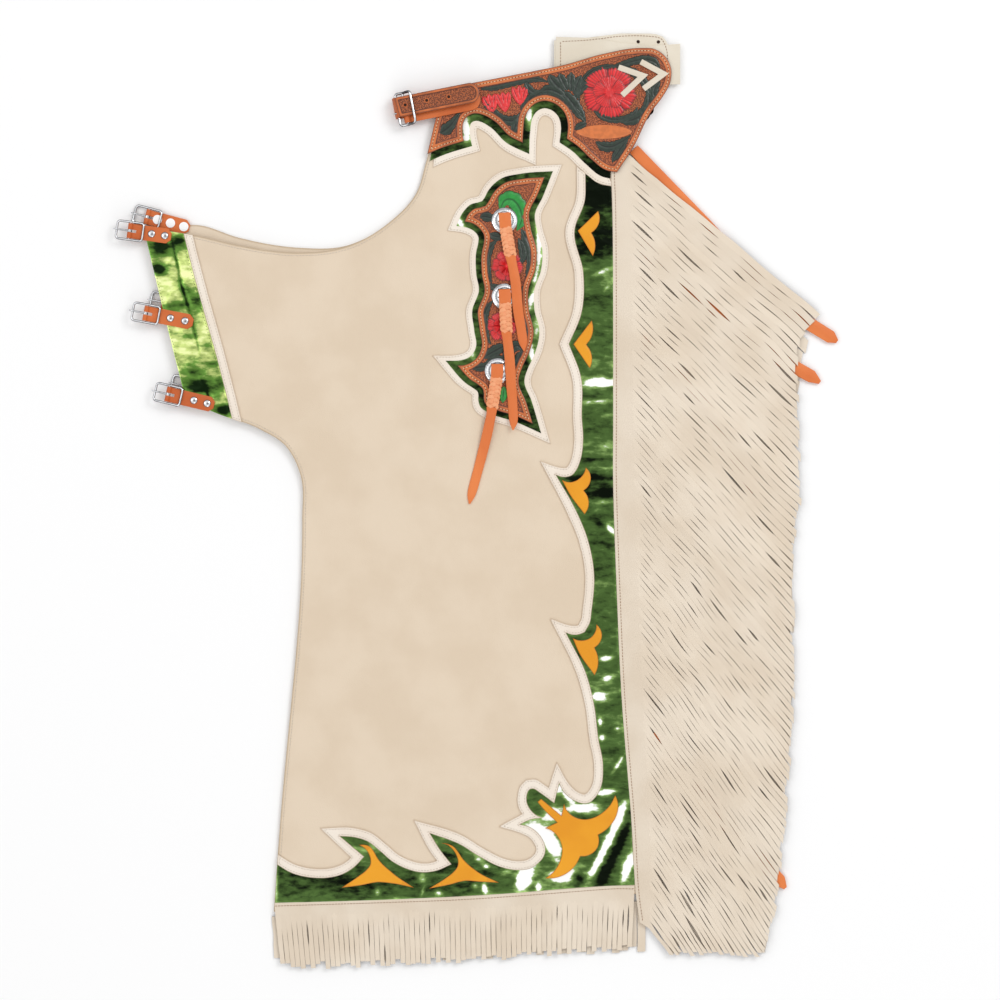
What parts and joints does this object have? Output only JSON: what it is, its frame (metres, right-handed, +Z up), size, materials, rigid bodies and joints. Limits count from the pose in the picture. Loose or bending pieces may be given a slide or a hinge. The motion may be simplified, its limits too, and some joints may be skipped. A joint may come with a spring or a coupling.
{
  "type": "western batwing riding chaps",
  "caption": "Batwing riding chaps folded flat leg on leg, with fringe, foil borders, tooled yoke and patch, conchos with strings and buckled thigh straps.",
  "frame": {"origin": "middle of the garment's box, on the floor that it lies on", "axes": "+Z up off the floor, +Y from the hem to the waist, +X from the inner thigh wing to the side fringe"},
  "size_m": [0.797, 1.029, 0.0197],
  "materials": {
    "cream_leather": "smooth matt cream chap leather with faint creases",
    "pale_leather": "smooth pale cream garment leather, stitched along both edges",
    "fringe_leather": "soft cream leather cut into strands",
    "green_foil": "crinkled green metallic foil leather, bright on its ridges",
    "gold_leather": "smooth golden yellow leather",
    "tan_leather": "waxed orange-tan strap leather with burnished edges",
    "tooled_leather": "carved and stippled tan leather with painted flowers and leaves",
    "chrome": "polished nickel silver"
  },
  "bodies": {
    "chaps": {"leg_upper": "cream_leather", "leg_under": "cream_leather", "rear_belt": "cream_leather", "edge_trim": "pale_leather", "cuff_trim": "pale_leather", "yoke_trim": "pale_leather", "badge_trim": "pale_leather", "lace_1": "pale_leather", "lace_2": "pale_leather", "side_fringe": "fringe_leather", "hem_fringe": "fringe_leather", "under_side_fringe": "fringe_leather", "under_hem_fringe": "fringe_leather", "edge_foil": "green_foil", "cuff_foil": "green_foil", "yoke_foil": "green_foil", "badge_foil": "green_foil", "gold_leaf_1": "gold_leather", "gold_leaf_2": "gold_leather", "gold_leaf_3": "gold_leather", "gold_leaf_4": "gold_leather", "gold_leaf_5": "gold_leather", "gold_leaf_6": "gold_leather", "gold_leaf_7": "gold_leather", "yoke": "tooled_leather", "under_yoke": "tooled_leather", "badge": "tooled_leather", "front_billet": "tooled_leather", "front_chape": "tan_leather", "front_buckle": "chrome", "front_prong": "chrome", "string_1": "tan_leather", "string_2": "tan_leather", "string_3": "tan_leather", "leg_billet_1": "tan_leather", "leg_billet_2": "tan_leather", "leg_billet_3": "tan_leather", "leg_billet_4": "tan_leather", "cuff_strap_1": "tan_leather", "cuff_strap_2": "tan_leather", "cuff_strap_3": "tan_leather", "under_strap_1": "tan_leather", "under_strap_2": "tan_leather", "under_strap_3": "tan_leather", "concho_1": "chrome", "concho_2": "chrome", "concho_3": "chrome", "cuff_buckle_1": "chrome", "cuff_buckle_2": "chrome", "cuff_buckle_3": "chrome", "under_buckle_1": "chrome", "under_buckle_2": "chrome", "under_buckle_3": "chrome"},
    "cuff_tongue_1": {"cuff_prong_1": "chrome"},
    "cuff_tongue_2": {"cuff_prong_2": "chrome"},
    "cuff_tongue_3": {"cuff_prong_3": "chrome"},
    "under_tongue_1": {"under_prong_1": "chrome"},
    "under_tongue_2": {"under_prong_2": "chrome"},
    "under_tongue_3": {"under_prong_3": "chrome"}
  },
  "joints": [
    {"name": "cuff_prong_1_swing", "type": "hinge", "parent": "chaps", "child": "cuff_tongue_1", "pos_m": [-0.37991, 0.29665, 0.0106], "axis": [0.1392, 0.9903, 0], "range_deg": [0, 150]},
    {"name": "cuff_prong_2_swing", "type": "hinge", "parent": "chaps", "child": "cuff_tongue_2", "pos_m": [-0.36241, 0.20605, 0.0106], "axis": [0.1908, 0.9816, 0], "range_deg": [0, 150]},
    {"name": "cuff_prong_3_swing", "type": "hinge", "parent": "chaps", "child": "cuff_tongue_3", "pos_m": [-0.33791, 0.11725, 0.0106], "axis": [0.2317, 0.9728, 0], "range_deg": [0, 150]},
    {"name": "under_prong_1_swing", "type": "hinge", "parent": "chaps", "child": "under_tongue_1", "pos_m": [-0.36171, 0.31265, 0.0031], "axis": [0.2588, 0.9659, 0], "range_deg": [0, 150]},
    {"name": "under_prong_2_swing", "type": "hinge", "parent": "chaps", "child": "under_tongue_2", "pos_m": [-0.34311, 0.21845, 0.0031], "axis": [0.1908, 0.9816, 0], "range_deg": [0, 15]},
    {"name": "under_prong_3_swing", "type": "hinge", "parent": "chaps", "child": "under_tongue_3", "pos_m": [-0.32041, 0.12605, 0.0031], "axis": [0.2317, 0.9728, 0], "range_deg": [0, 15]}
  ]
}
